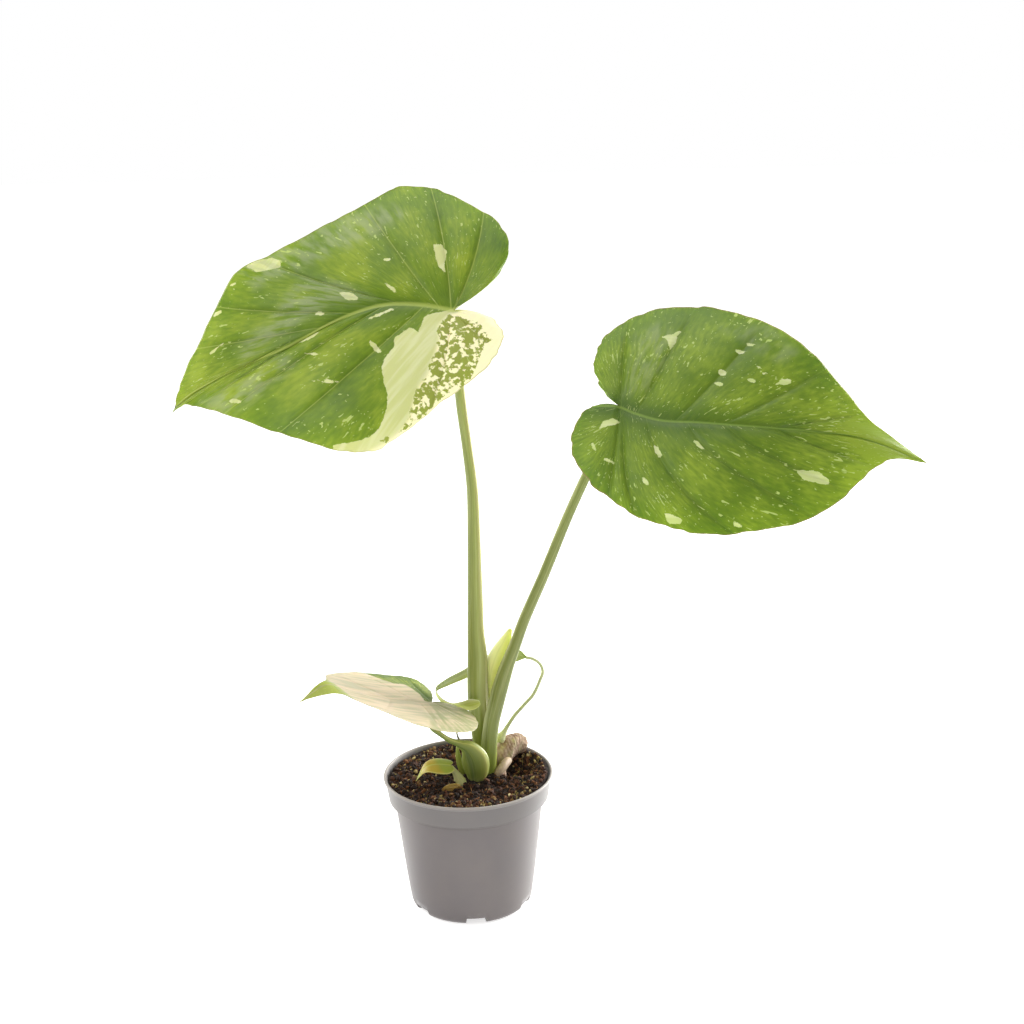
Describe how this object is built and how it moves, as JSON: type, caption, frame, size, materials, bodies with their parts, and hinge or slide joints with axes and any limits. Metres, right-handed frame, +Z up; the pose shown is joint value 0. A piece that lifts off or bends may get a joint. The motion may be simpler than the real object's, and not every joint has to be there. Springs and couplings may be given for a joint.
{
  "type": "potted variegated monstera",
  "caption": "Young variegated monstera with heart-shaped marbled leaves on tall stalks, a low pale leaf, new shoots and potting mix in a round grey nursery pot.",
  "frame": {"origin": "centre of the pot's base, on the surface it stands on", "axes": "+Z up; +X towards the big right leaf's tip; -Y towards the side that the upper faces of the big leaves look to"},
  "size_m": [0.5004, 0.1537, 0.5056],
  "materials": {
    "pot_plastic": "satin",
    "potting_mix": "matte",
    "old_stem": "matte",
    "root": "matte",
    "stalk": "satin",
    "leaf_green": "satin",
    "leaf_pale": "satin",
    "young_leaf": "satin",
    "dried_scale": "matte"
  },
  "bodies": {
    "root": {"pot": "pot_plastic", "potting_mix": "potting_mix", "crown": "old_stem", "rhizome_stub": "old_stem", "anchor_root": "root", "petiole_left": "stalk", "blade_left": "leaf_green", "petiole_right": "stalk", "blade_right": "leaf_green", "petiole_low": "stalk", "outer_bract": "stalk", "blade_low": "leaf_pale", "withered_tip": "dried_scale", "new_leaf_spear": "young_leaf", "petiole_back": "stalk", "blade_back": "young_leaf", "offshoot_petiole": "stalk", "offshoot_blade": "young_leaf", "old_cataphyll": "dried_scale"}
  },
  "joints": []
}
